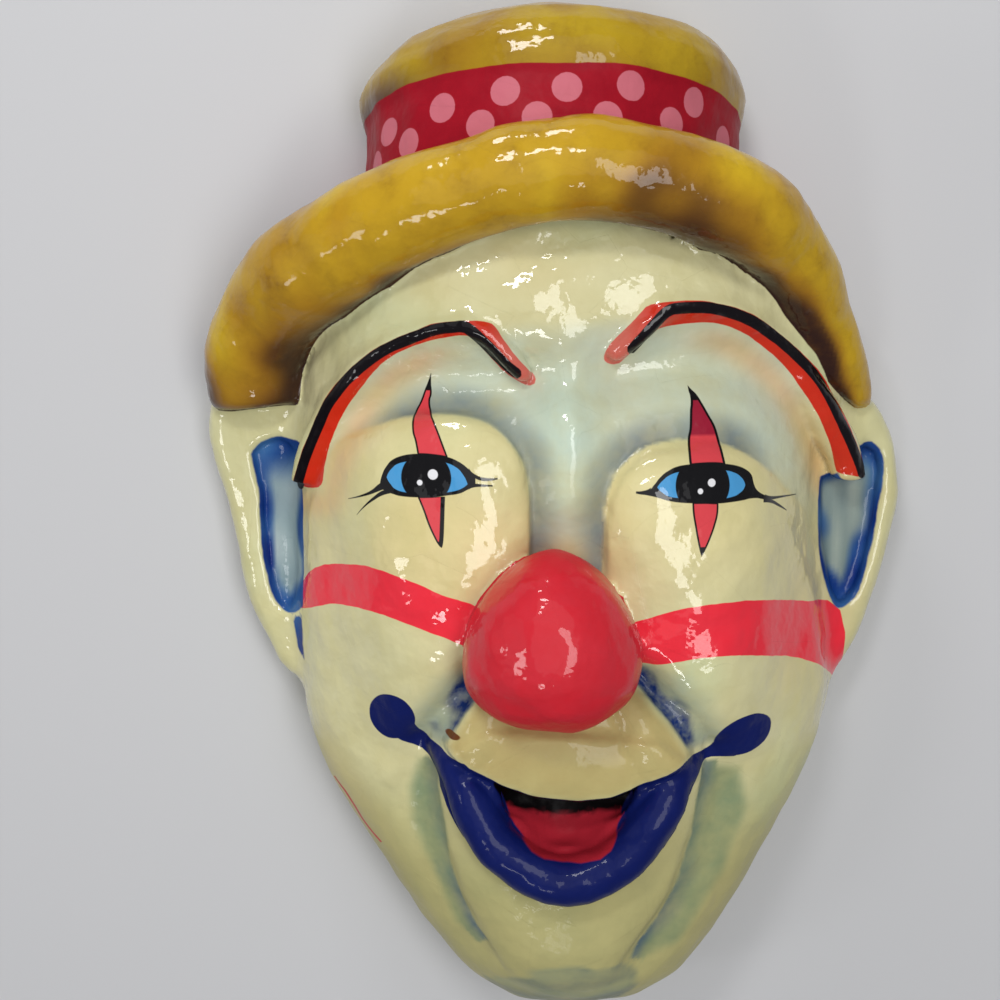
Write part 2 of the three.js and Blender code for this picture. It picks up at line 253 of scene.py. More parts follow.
def head_half_width(y):
    t = clip((JAW_START_Y - y) / (JAW_START_Y - CHIN_Y), 0, 1)
    wave = JAW_FULLNESS * np.sin(2 * math.pi * t / JAW_WAVE) * clip(6 - 6 * t, 0, 1)
    jaw = JAW_HALF_WIDTH * clip(1 - t ** 1.4, 0, 1) ** JAW_ROUNDING + wave
    straight = TEMPLE_HALF_WIDTH + (JAW_HALF_WIDTH - TEMPLE_HALF_WIDTH) * ramp(0, JAW_START_Y, y)
    dome = clip(1 - (maximum(y, 0) / SKULL_TOP_Y) ** 3, 0, 1)
    return where(y < JAW_START_Y, jaw, straight * sqrt(dome))


def head_height(y):
    t = clip((JAW_START_Y - y) / (JAW_START_Y - CHIN_Y), 0, 1)
    chin = clip(1 - t ** 6, 0, 1) ** 0.45
    top = sqrt(clip(1 - (maximum(y, 0) / SKULL_TOP_Y) ** 8, 0, 1))
    return FACE_HEIGHT * where(y < 0, chin, top)


def head_axis(y):
    return CHIN_DRIFT * maximum(-y, 0) + CHEEK_DRIFT * bump((y + 75) / 35)


def brow_line(x):
    """Height y of the brow crest above x."""
    crest = np.array(sorted(BROWS[0] + BROWS[1]), float)
    return np.interp(x, crest[:, 0], crest[:, 1])


def cheek_share(x, y, cheek):
    """1 at a cheek's centre, 0 at its edge, boxy above the centre and round below."""
    u, v = (x - cheek["x"]) / cheek["rx"], (y - cheek["y"]) / cheek["ry"]
    power = where(v > 0, 4.0, 2.0)
    return clip(1 - (abs(u) ** power + abs(v) ** power) ** (2 / power), 0, 1)


def face_relief(x, y):
    """What the features add to the plain head, in millimetres towards +Z."""
    z = 0.0
    for cheek in CHEEKS:
        u, v = (x - cheek["x"]) / cheek["rx"], (y - cheek["y"]) / cheek["ry"]
        crispness = clip(0.5 - 0.5 * cheek["side"] * u + 0.35 * v, 0, 1)
        z = z + CHEEK_HEIGHT * cheek_share(x, y, cheek) ** (1.5 - crispness)
    over_sockets = ramp(128, 92, abs(x - SOCKET_X))
    above = y - brow_line(x)
    z = z - 11 * over_sockets * bump((above + 25) / 15)
    z = z + 4 * over_sockets * bump((above - 6) / 22)
    z = z + 10 * ramp(-5, 27, y) * ramp(112, 80, y) * bump((x - 3) / 15)
    for brow in BROWS:
        z = z + BROW_HEIGHT * bump(path_distance(x, y, brow) / BROW_REACH)
    mound = rounded_distance(x, y, MOUNDS)
    z = z + MOUND_STEP * ramp(1.2, -1.2, mound) * ramp(-35, 0, y)
    pad = -outline_distance(x, y, LIP_PAD)
    pad_dome = clip(1 - ((x - 3) / 66) ** 2 - ((y + 94) / 34) ** 2, 0, 1)
    z = z + 5 * ramp(-1.6, 1.0, pad) + 11 * sqrt(pad_dome)
    plate = -outline_distance(x, y, CHIN_PLATE)
    jaw_lobe = clip(1 - ((x - 9) / 74) ** 2 - ((y + 150) / 78) ** 2, 0, 1)
    z = z + 5 * jaw_lobe ** 0.7 + 3.5 * ramp(-1.5, 3.0, plate) * ramp(-222, -190, y)
    z = z + 7 * bump((x - 10) / 34) * bump((y + 210) / 24)
    for depth, reach, path in GROOVES:
        z = z - depth * bump(path_distance(x, y, path) / reach)
    return z


def head_value(x, y, z, inset=0.0):
    """Below 0 inside the head. Its slope isn't 1, so head_distance() divides by it."""
    half = maximum(head_half_width(y) - inset, 0.5)
    height = maximum(head_height(y) - 1.2 * inset, 0.5)
    across = abs(x - head_axis(y)) / half
    relief = face_relief(x, y)
    if inset:
        relief = HOLLOW_RELIEF * relief - WALL / 2
    lift = clip(1 - across ** 6, 0, 1) * clip(height / 40, 0, 1) * relief
    up = maximum(z - lift, 0) / height
    return across ** SIDE_POWER + up ** FRONT_POWER - 1


def head_distance(grid, inset=0.0):
    """The head's field turned into an even distance, and closed off past the chin and skull."""
    value = head_value(grid.x, grid.y, grid.z, inset) + 0 * grid.z
    slope = sqrt(sum(g * g for g in np.gradient(value, grid.cell)))
    distance = value / maximum(slope, 1e-3)
    distance = where(value > 3, maximum(distance, 6), distance)
    past_ends = maximum(grid.y - (SKULL_TOP_Y - inset), (CHIN_Y + inset) - grid.y)
    return maximum(distance, past_ends)


def roll_distance(x, y, z, path, steps=4):
    """Signed distance to a round roll along a path of x, y, z and radius."""
    points = curve_points(path, steps)
    nearest = None
    for a, b in zip(points[:-1], points[1:]):
        d = b[:3] - a[:3]
        share = ((x - a[0]) * d[0] + (y - a[1]) * d[1] + (z - a[2]) * d[2]) / d.dot(d)
        share = clip(share, 0, 1)
        far = sqrt((x - a[0] - share * d[0]) ** 2 + (y - a[1] - share * d[1]) ** 2
                      + (z - a[2] - share * d[2]) ** 2) - (a[3] + share * (b[3] - a[3]))
        nearest = far if nearest is None else minimum(nearest, far)
    return nearest


def ball_distance(x, y, z, centre, radii, grow=0.0, taper=0.0):
    squeeze = 1 - taper * (y - centre[1])
    u = (x - centre[0]) / squeeze / (radii[0] + grow)
    v = (y - centre[1]) / (radii[1] + grow)
    w = (z - centre[2]) / (radii[2] + grow)
    reach = sqrt(u * u + v * v + w * w)
    steep = sqrt((u / (radii[0] + grow)) ** 2 + (v / (radii[1] + grow)) ** 2
                    + (w / (radii[2] + grow)) ** 2)
    return reach * (reach - 1) / maximum(steep, 1e-6)


def crown_place(x, y, z):
    """Height along the crown's axis and distance from that axis."""
    dy, dz = y - CROWN_BASE[1], z - CROWN_BASE[2]
    along = dy * math.cos(CROWN_TILT) - dz * math.sin(CROWN_TILT)
    front = dy * math.sin(CROWN_TILT) + dz * math.cos(CROWN_TILT)
    return along, hypot(x - CROWN_BASE[0] - CROWN_LEAN * along, front / CROWN_DEPTH_RATIO)


def crown_distance(x, y, z, inset=0.0):
    along, out = crown_place(x, y, z)
    band, bulge, top = (v - inset for v in (CROWN_BAND_RADIUS, CROWN_BULGE_RADIUS, CROWN_TOP))
    foot = -3 + 1.4 * inset
    profile = [
        (0, foot), (band - 2, foot), (band, CROWN_BAND_TOP - 2), (bulge - 1, CROWN_BAND_TOP + 5),
        (bulge, CROWN_BAND_TOP + 14), (bulge - 3, top - 17), (bulge - 10, top - 8),
        (bulge - 22, top - 2), (bulge - 40, top), (0, top),
    ]
    return outline_distance(out, along, profile)


def ear_distance(x, y, z, side):
    flat = outline_distance(x, y, curve_points(EARS[side], 3))
    tilt = 0.16 * (abs(x) - 150)
    middle, half = (EAR_BACK + EAR_FRONT) / 2, (EAR_FRONT - EAR_BACK) / 2
    soft = 8
    u, v = flat + soft, abs(z + tilt - middle) - half + soft
    slab = hypot(maximum(u, 0), maximum(v, 0)) + minimum(maximum(u, v), 0) - soft
    blue = outline_distance(x, y, EAR_BLUES[side])
    hollow = maximum(blue + 2, EAR_FRONT - EAR_HOLLOW_DEPTHS[side] - tilt - z)
    return smooth_cut(slab, hollow, 7)


class Grid:
    """Even grid of points over the mask, with one layer below the rim plane."""

    def __init__(self, cell):
        self.cell = cell
        self.low = np.array([-185.0, -258.0, -cell])
        self.count = np.ceil(np.array([370.0, 522.0, 172.0]) / cell).astype(int) + 1
        axes = [self.low[i] + cell * np.arange(self.count[i]) for i in range(3)]
        self.x = axes[0][:, None, None]
        self.y = axes[1][None, :, None]
        self.z = maximum(axes[2], 0)[None, None, :]

    def sample(self, values, points):
        """Values of a field at points, by straight-line interpolation."""
        place = (points - self.low) / self.cell
        corner = clip(np.floor(place).astype(int), 0, self.count - 2)
        f = place - corner
        total = 0.0
        for offset in np.ndindex(2, 2, 2):
            weight = where(offset, f, 1 - f).prod(axis=1)
            total = total + weight * values[tuple((corner + offset).T)]
        return total


def sculpt_outside(grid):
    """Fields of the parts of the moulded outside, and the whole."""
    x, y, z = grid.x, grid.y, grid.z
    head = head_distance(grid)
    ears = minimum(ear_distance(x, y, z, 0), ear_distance(x, y, z, 1))
    nose = ball_distance(x, y, z, NOSE_CENTRE, NOSE_RADII, taper=NOSE_TAPER)
    nose = nose + 0.8 * lumps(x, y, z, 24, 15) + 0.3 * lumps(x, y, z, 10, 16)
    lip = roll_distance(x, y, z, LIP_PATH)
    brim = roll_distance(x, y, z, BRIM_PATH)
    brim = smooth_cut(brim, y - BRIM_FOOT_Y - 0.7 * clip(148 - x, 0, 40) * (x > 100), 5)
    crown = crown_distance(x, y, z)
    mouth = smooth_union(ball_distance(x, y, z, **MOUTH_OPENING), ball_distance(x, y, z, **MOUTH_GAP), 1.5)
    mouth = smooth_cut(mouth, y - MOUTH_LOWEST_Y, 3)
    pad = maximum(outline_distance(x, y, LIP_PAD), PAD_UNDERSIDE_Z - z)
    mouth = smooth_cut(mouth, pad, 1.5)
    brow_ends = minimum(*(roll_distance(x, y, z, path) for path in BROW_ENDS))
    brow_ends = smooth_cut(brow_ends, y - BROW_FOOT_Y, 2)
    brow_arms = minimum(*(roll_distance(x, y, z, path) for path in BROW_ARMS))
    temple = roll_distance(x, y, z, RIGHT_TEMPLE)
    for part, blend in ((ears, 10), (temple, 9), (brow_ends, 3), (brow_arms, 1.2)):
        head = smooth_union(head, part, blend)
    face = smooth_union(head, lip, 2.5)
    face = smooth_cut(face, mouth, 1.2)
    plain = face
    face = smooth_union(face, nose, 1)
    hat = smooth_union(brim, crown, 2)
    face = face + 0.5 * lumps(x, y, z, 34, 3) + 0.32 * lumps(x, y, z, 13, 5)
    face = face + 0.1 * lumps(x, y, z, 7, 6)
    hat = hat + 1.0 * lumps(x, y, z, 38, 11) + 0.5 * lumps(x, y, z, 16, 12)
    hat = hat + 0.1 * lumps(x, y, z, 7, 13)
    whole = smooth_union(face, hat, 1.5)
    return dict(face=face, hat=hat, brim=brim, crown=crown, plain=plain, head=head, nose=nose,
                lip=lip, mouth=mouth, whole=whole.astype(np.float32))


def sculpt_hollow(grid):
    """Field of the hollow behind the face."""
    x, y, z = grid.x, grid.y, grid.z
    head = head_distance(grid, WALL)
    crown = crown_distance(x, y, z, WALL)
    nose = ball_distance(x, y, z, (NOSE_CENTRE[0], NOSE_CENTRE[1], NOSE_CENTRE[2] - 5), NOSE_RADII,
                         grow=-WALL)
    mouth = ball_distance(x, y, z, MOUTH_CENTRE, MOUTH_RADII, grow=WALL)
    hollow = smooth_union(smooth_union(head, crown, 6.0), nose, 5)
    hollow = smooth_cut(hollow, mouth, 5)
    return (hollow + 0.6 * lumps(x, y, z, 22, 21)).astype(np.float32)


def fill_touching(field, cell):
    """Fills grid points where the surface would touch itself along an edge."""
    for _ in range(8):
        found = 0
        for axis in range(3):
            f = np.moveaxis(field, axis, 0)
            corners = [f[:, :-1, :-1], f[:, 1:, :-1], f[:, :-1, 1:], f[:, 1:, 1:]]
            a, b, c, d = (part < 0 for part in corners)
            crossed = (a == d) & (b == c) & (a != b)
            found += int(crossed.sum())
            for part in corners:
                part[crossed] = minimum(part[crossed], -0.1 * cell)
        if not found:
            break
    return field


def largest_piece(points, quads):
    """The net without the small islands that stand apart from it."""
    label = np.arange(len(points))
    while True:
        least = label[quads].min(1)
        new = label.copy()
        for i in range(4):
            np.minimum.at(new, quads[:, i], least)
        new = new[new]
        if (new == label).all():
            break
        label = new
    kept = label == np.bincount(label[quads[:, 0]]).argmax()
    number = np.cumsum(kept) - 1
    return points[kept], number[quads[kept[quads[:, 0]]]]


def surface_net(grid, field):
    """Vertices and quads of the zero surface of a field, cut open at the rim plane z = 0."""
    corners = list(np.ndindex(2, 2, 2))
    nx, ny, nz = grid.count
    field = fill_touching(field, grid.cell)
    inside = field < 0
    count = sum(inside[i:nx - 1 + i, j:ny - 1 + j, k:nz - 1 + k].astype(np.int8) for i, j, k in corners)
    cells = np.argwhere((count > 0) & (count < 8))
    number = np.full((nx - 1, ny - 1, nz - 1), -1, np.int64)
    number[tuple(cells.T)] = np.arange(len(cells))
    total, hits = np.zeros((len(cells), 3)), np.zeros(len(cells))
    for a in corners:
        for axis in range(3):
            if a[axis] == 1:
                continue
            b = list(a)
            b[axis] = 1
            fa, fb = field[tuple((cells + a).T)], field[tuple((cells + b).T)]
            cross = (fa < 0) != (fb < 0)
            share = where(cross, fa / where(cross, fa - fb, 1), 0)
            spot = np.tile(np.array(a, float), (len(cells), 1))
            spot[:, axis] = share
            total[cross] += spot[cross]
            hits += cross
    points = grid.low + grid.cell * (cells + total / hits[:, None])
    quads = []
    for axis in range(3):
        u, v = (axis + 1) % 3, (axis + 2) % 3
        spots = np.argwhere(np.diff(inside, axis=axis))
        keep = (spots[:, u] > 0) & (spots[:, v] > 0)
        keep &= (spots[:, u] < grid.count[u] - 1) & (spots[:, v] < grid.count[v] - 1)
        spots = spots[keep]
        outward = inside[tuple(spots.T)]
        ring = []
        for du, dv in ((1, 1), (0, 1), (0, 0), (1, 0)):
            cell = spots.copy()
            cell[:, u] -= du
            cell[:, v] -= dv
            ring.append(number[tuple(cell.T)])
        quad = np.stack(ring, 1)
        quad[~outward] = quad[~outward][:, ::-1]
        quads.append(quad)
    quads = np.vstack(quads)
    for _ in range(2):
        value = grid.sample(field, points)
        slope = np.stack([grid.sample(field, points + e) - grid.sample(field, points - e)
                          for e in np.eye(3) * grid.cell * 0.5], 1) / grid.cell
        step = -value[:, None] * slope / maximum((slope ** 2).sum(1), 0.2)[:, None]
        points = points + clip(step, -0.35 * grid.cell, 0.35 * grid.cell)
    bottom = cells[:, 2] == 0
    points[bottom, 2] = 0
    points[:, 2] = maximum(points[:, 2], 0)
    return largest_piece(points, quads)


def boundary_edges(quads):
    """Edges that only one quad has, each as it runs in that quad."""
    edges = np.concatenate([quads[:, [i, (i + 1) % 4]] for i in range(4)])
    key = np.sort(edges, 1)
    _, first, times = np.unique(key, axis=0, return_index=True, return_counts=True)
    return edges[first[times == 1]]


def rim_faces(points, edges):
    """Triangles in the rim plane between the outer and the inner boundary."""
    used = np.unique(edges)
    spot = {v: i for i, v in enumerate(used)}
    flat = [Vector((points[v, 0], points[v, 1])) for v in used]
    sides = [(spot[a], spot[b]) for a, b in edges]
    out = delaunay_2d_cdt(flat, sides, [], 0, 1e-5)
    corners, faces, origin = out[0], out[2], out[3]
    back = [used[ids[0]] if ids else None for ids in origin]
    ring = np.array([[corners[spot[a]][:], corners[spot[b]][:]] for a, b in edges])
    tris = []
    for face in faces:
        middle = sum((corners[i] for i in face), Vector((0, 0))) / 3
        ay, by = ring[:, 0, 1], ring[:, 1, 1]
        spans = (ay > middle.y) != (by > middle.y)
        s = ring[spans]
        cut = s[:, 0, 0] + (middle.y - s[:, 0, 1]) * (s[:, 1, 0] - s[:, 0, 0]) / (s[:, 1, 1] - s[:, 0, 1])
        if (cut > middle.x).sum() % 2 == 1:
            tris.append([back[i] for i in reversed(face)])
    return [t for t in tris if None not in t]


def add_object(name, data):
    made = bpy.data.objects.new(name, data)
    bpy.context.collection.objects.link(made)
    return made


def build_mask():
    grid = Grid(CELL)
    parts = sculpt_outside(grid)
    points, quads = surface_net(grid, parts.pop("whole"))
    coarse = Grid(HOLLOW_CELL)
    hollow = sculpt_hollow(coarse)
    guard = sculpt_outside(coarse)["whole"] + 0.7 * WALL
    inner_points, inner_quads = surface_net(coarse, maximum(hollow, guard))
    inner_quads = inner_quads[:, ::-1] + len(points)
    all_points = np.vstack([points, inner_points])
    all_quads = np.vstack([quads, inner_quads])
    rim = rim_faces(all_points, boundary_edges(all_quads))
    mesh = bpy.data.meshes.new("mask_skin")
    mesh.from_pydata((all_points * MM).tolist(), [], all_quads.tolist() + rim)
    mesh.validate()
    mesh.update()
    mesh.shade_smooth()
    return add_object("mask_skin", mesh), grid, parts, len(points)


# Painted outlines, in the plane of x and y
STRIPES = [
    [(-130, -30), (-118, -14.5), (-101, -9), (-86, -7.5), (-69, -11.5), (-55, -17), (-36, -25),
     (-36, -43), (-55, -37), (-69, -32.5), (-88, -28.5), (-110, -30.5), (-130, -39)],
    [(32, -31.5), (54, -24.3), (72, -22), (92, -23), (117, -30), (144, -41), (145, -76), (130, -64),
     (111, -55), (85, -47.5), (63, -47), (36, -51)],
]
BROW_RED = [
    [(-129.8, 23.5), (-123.4, 41.5), (-118.8, 51.5), (-113.3, 63), (-108, 71.8), (-97.7, 82.7),
     (-83, 93.8), (-65, 101.5), (-56.5, 104.4), (-41.5, 105.4), (-33.8, 104.9), (-30, 102.6),
     (-24.8, 94.6), (-16.7, 85), (-12, 80), (-12, 76.5), (-15, 75.5), (-19, 77.2), (-26.6, 82.4),
     (-37, 94.2), (-42.3, 98.8), (-55, 97.5), (-64.3, 95), (-73.6, 91.2), (-83, 85), (-93, 73.8),
     (-101.7, 61.7), (-108.7, 47), (-112, 35.5), (-114.5, 25.5)],
    [(152.5, 27.5), (149.8, 37.8), (144, 48.7), (139.6, 58.5), (128.5, 76.6), (115, 89.7), (98, 102),
     (84, 109.6), (67.6, 113.7), (53.6, 114.3), (39.4, 112.6), (36.4, 110.2), (30.6, 103.5), (22, 95),
     (19.5, 89), (21, 86), (26.4, 85.4), (31, 89.6), (40, 98), (43.7, 101.6), (56, 104), (70, 104.2),
     (83.3, 100), (95.7, 92.2), (106.6, 83.2), (116.5, 71), (124.8, 59), (132, 45.5), (136.3, 34),
     (137.7, 30.7), (142.5, 29.5)],
]
BROW_BLACK = [
    [(-126.6, 24.3), (-121, 40.3), (-111, 62), (-105.4, 70.5), (-96.5, 80.4), (-81.6, 91.6), (-64.3, 99),
     (-56.2, 101.7), (-48.2, 102.6), (-43.2, 102.5), (-35.5, 96), (-29.5, 89.6), (-24.4, 84.6),
     (-20.7, 81.6)],
    [(150, 30), (146.8, 37.7), (136.6, 56.5), (125.8, 74.6), (113.3, 87.5), (97.3, 99.4), (83, 107),
     (67.6, 111), (53.3, 111), (47.6, 109.8), (43.4, 105.8), (38.3, 100.2), (32, 92.7)],
]
BROW_LINE_WIDTH = 5.2
BROW_LINE_END = 2.6
LIP_AREA = [
    (-80, -80), (-69.4, -74), (-68.2, -79), (-67.9, -83), (-66.2, -86.2), (-61.5, -90.3), (-55, -93),
    (-49.7, -95.7), (-42, -96), (30, -96), (50, -95), (54.1, -95.4), (58.7, -95.3), (63, -95.4),
    (67, -95.4), (70.2, -94.6), (73.2, -91.5), (76, -86), (84, -90), (83.5, -99.8), (76.1, -99.3),
    (70.3, -99.5), (67.7, -100.8), (64.5, -104.9), (61.2, -115), (57.8, -121), (55, -132.5), (49, -141.5),
    (38, -149), (22, -157), (2.5, -161), (-13, -156.5), (-31.5, -148), (-45, -137.5), (-49.3, -130.9),
    (-52.2, -125.5), (-54.6, -119.4), (-56.6, -115.2), (-57.2, -110.5), (-58.6, -105.5), (-61.4, -100.4),
    (-65.2, -96.9), (-70, -94.7), (-75.5, -92.3), (-81, -88),
]
MOUTH_AREA = [
    (-31, -96), (-31, -108), (-28, -113.3), (-24.2, -122.9), (-21, -128.8), (-17.3, -133.6),
    (-13.2, -138), (-8, -141), (0, -142.8), (9, -142.8), (18, -140.5), (23.5, -136.5), (26, -132),
    (27.5, -127), (30, -121.5), (34, -114), (36, -108), (36, -96),
]
# Paint balls at the ends of the lip: x, y, half length, half width, turn
LIP_BALLS = [(-79, -80, 11.3, 11.8, 0), (87, -88.5, 14.8, 10.2, 0.3)]
CHIN_GREY = [
    (-34, -222), (-18, -211), (-4, -203.5), (29, -204.5), (37, -212), (35, -225), (26, -238), (0, -244),
    (-27, -238),
]
# Shaded bands along the jaw: the crisp inner edge, then the soft outer edge
JAW_BANDS = [
    {"inner": [(-56, -104), (-57.6, -114), (-54, -132), (-51.6, -154), (-45.4, -172), (-39.4, -186),
        (-33.8, -193)],
     "outer": [(-39.6, -200), (-52, -189), (-62, -163), (-73, -136), (-74, -117), (-68, -99)]},
    {"inner": [(67, -100), (65, -118), (63, -138), (56.3, -163), (47, -181.5), (38, -193), (35, -202)],
     "outer": [(43, -206), (61, -199), (70.5, -184), (83, -163), (88.5, -144), (94, -128), (88.5, -104)]},
]
# Thin red brush line over the left jaw's edge
JAW_LINE = [
    (-110.7, -125), (-105.5, -129.5), (-100.6, -136.5), (-97, -144), (-93.2, -148.7), (-88, -152),
]
# Small blue mark on the left ear's root
EAR_MARK = [(-132, -45), (-127, -41), (-126, -65), (-130, -60)]
# Centres of the band's dots on the hat, in the order they stand, top row first
DOTS = [
    (-79.5, 191.6, 65), (-54, 200, 87), (-25.8, 206, 98), (1.4, 207.4, 100), (30, 208.5, 94.5),
    (60.2, 203.5, 77), (76.5, 188.5, 56.5), (-86, 177, 58), (-70, 185.3, 79.6), (-36.8, 191.4, 97.5),
    (-11.8, 194.6, 103), (19.4, 194.8, 101.4), (49.2, 193.8, 87),
]
DOT_RADIUS = 6.8
# Heights that keep paint off the sides, and the distance stored where there is no paint
BROW_BACK_Z = 35
STRIPE_BACK_Z = 24
EAR_BLUE_TOP_Z = 46
FAR = 50


def mix(a, b, share):
    """Blends colours, of one or of many points."""
    share = np.asarray(share, float)[..., None]
    return np.asarray(a, float) * (1 - share) + np.asarray(b, float) * share


def linear(colour):
    c = np.asarray(colour, float)
    return where(c <= 0.04045, c / 12.92, ((c + 0.055) / 1.055) ** 2.4)


def ball_outline(x, y, ball):
    cx, cy, rx, ry, turn = ball
    u = (x - cx) * math.cos(turn) + (y - cy) * math.sin(turn)
    v = (y - cy) * math.cos(turn) - (x - cx) * math.sin(turn)
    return (hypot(u / rx, v / ry) - 1) * min(rx, ry)


# Soft colours, brushed one over the other, painted shade among them
CREAM = (0.88, 0.855, 0.66)
PALE_GREEN = (0.80, 0.84, 0.655)
PALE_ORANGE = (0.885, 0.80, 0.56)
SOCKET_GREEN = (0.80, 0.84, 0.76)
BRIDGE_GREEN = (0.78, 0.86, 0.79)
# Painted shade in the crease outside the mounds' upper edges
SOCKET_SHADE = (0.33, 0.40, 0.47)
MOUND_YELLOW = (0.90, 0.815, 0.55)
BROW_ORANGE = (0.93, 0.66, 0.42)
WING_GREY = (0.58, 0.65, 0.60)
PAD_OCHRE = (0.71, 0.63, 0.40)
# Painted shade that darkens the face towards the chin
LOWER_FACE_SHADE = (0.68, 0.655, 0.44)
JAW_GREEN = (0.50, 0.57, 0.435)
JAW_BLUE = (0.33, 0.42, 0.50)
CHIN_GREYS = (0.40, 0.45, 0.42), (0.60, 0.63, 0.50)
EAR_CREAM = (0.86, 0.85, 0.65)


def layered(colour, layers):
    """A colour under layers of others, each with its share."""
    for top, share in layers:
        colour = mix(colour, top, share)
    return colour


def halfway(value):
    """Lumps from -1 to 1 as a share from 0 to 1."""
    return 0.5 + 0.5 * value


def face_tint(x, y, z):
    """Soft brushed colours and painted shade of the face, without its crisp shapes."""
    mound = rounded_distance(x, y, MOUNDS)
    pad = outline_distance(x, y, LIP_PAD)
    above = y - brow_line(x)
    socket = (ramp(2, -10, above) * ramp(-86, -50, above) * ramp(128, 98, abs(x - SOCKET_X))
              * ramp(-0.5, 1.5, mound) * ramp(-8, 18, y))
    bridge = bump((x - 2) / 17) * ramp(-4, 12, y) * ramp(100, 60, y) * ramp(0, 3, mound)
    # Painted shade: dark grey-blue in the crease just outside the mounds, fading away from it
    near = ramp(18, 1, mound) * ramp(-0.4, 0.8, mound) * ramp(-34, -12, y) * ramp(100, 70, abs(x - 5))
    near = near * clip(0.62 + 0.2 * ramp(-10, 20, x) + 0.2 * lumps(x, y, z, 20, 33), 0, 0.95)
    yellow = ramp(0.5, -1.0, mound) * ramp(-40, 10, y)
    yellow = yellow * clip(0.75 - 0.012 * abs(x - 5 + 12 * np.sign(x)), 0.25, 0.8)
    fold = minimum(*(abs(outline_distance(x, y, red) - 8) for red in BROW_RED))
    wing = ramp(-95, -88, y) * ramp(-50, -58, y) * (abs(x - 2) > 28) * ramp(-0.8, 0.4, pad)
    layers = [
        (PALE_GREEN, 0.75 * ramp(-0.2, 1.6, lumps(x, y, z, 42, 31))),
        (PALE_ORANGE, 0.5 * ramp(0.1, 1.8, lumps(x, y, z, 48, 32))),
        (SOCKET_GREEN, 0.85 * socket),
        (BRIDGE_GREEN, 0.75 * bridge),
        (SOCKET_SHADE, near),
        (MOUND_YELLOW, yellow),
        (BROW_ORANGE, 0.45 * bump(fold / 7) * ramp(0, -12, above) * ramp(40, 75, abs(x - 5))),
        (WING_GREY, 0.8 * wing * ramp(26, 9, pad)),
        (PAD_OCHRE, 0.85 * ramp(1, -4, pad)),
        # Painted shade: the face darker towards the chin
        (LOWER_FACE_SHADE, 0.85 * ramp(-90, -170, y)),
    ]
    ragged = 2 * lumps(x, y, z, 9, 36)
    for band in JAW_BANDS:
        area = outline_distance(x, y, band["inner"] + band["outer"])
        inner = path_distance(x, y, band["inner"])
        deep = ramp(10, 0.5, inner + ragged) * ramp(0.3, -0.8, area)
        deep = deep * (0.35 + 0.65 * ramp(-150, -185, y) + 0.4 * ramp(-125, -108, y))
        layers += [(JAW_GREEN, 0.85 * ramp(0.4, where(inner < 8, -0.8, -7), area)),
                   (JAW_BLUE, 0.75 * clip(deep, 0, 1))]
    chin = outline_distance(x, y, CHIN_GREY) + 1.6 * lumps(x, y, z, 9, 35)
    streaks = mix(*CHIN_GREYS, halfway(clip(lumps(0.35 * x, y, z, 9, 37), -1, 1)))
    layers += [(streaks, 0.9 * ramp(3.5, 0, chin)), (EAR_CREAM, 0.5 * ramp(128, 150, abs(x - 3)))]
    return layered(CREAM, layers)


def matte_share(x, y, z):
    """Where the lacquer is thin: above the eyes, and on the upper lip pad and chin."""
    mound = rounded_distance(x, y, MOUNDS)
    socket = ramp(26, 14, mound) * ramp(-4, 2, mound) * ramp(-10, 5, y)
    pad = ramp(3, -2, outline_distance(x, y, LIP_PAD))
    return 0.85 * socket + 0.7 * pad + 0.92 * ramp(-92, -106, y)


def wing_blue(x, y, z):
    """Share of dark blue in the grooves beside the nose, ragged on the outer side."""
    pad = outline_distance(x, y, LIP_PAD)
    ragged = 3 * lumps(x, y, z, 8, 34) + 0.2 * maximum(-y - 70, 0)
    share = ramp(-0.6, 0.6, pad) * ramp(12, 5, pad + ragged) * ramp(-48, -56, y)
    return share * ramp(-92, -86, y - where(x < 0, 4, -2)) * (abs(x - 2) > 28)


def ear_tint(x, y, z):
    """Blue of the ear hollows, darker at the edge and worn pale in the middle."""
    edge = minimum(*(outline_distance(x, y, blue) for blue in EAR_BLUES))
    worn = ramp(-2.5, -9, edge + 2.5 * lumps(x, y, z, 14, 41)) * ramp(42, 20, y)
    blue = mix((0.05, 0.19, 0.49), (0.18, 0.35, 0.59), halfway(lumps(x, y, z, 11, 42)))
    pale = mix((0.62, 0.69, 0.66), (0.78, 0.83, 0.78), halfway(lumps(x, y, z, 16, 43)))
    olive = mix((0.55, 0.60, 0.54), (0.74, 0.76, 0.66), halfway(lumps(2 * x, 0.5 * y, z, 12, 44)))
    return mix(blue, where((x > 0)[:, None], olive, pale), worn * 0.85)


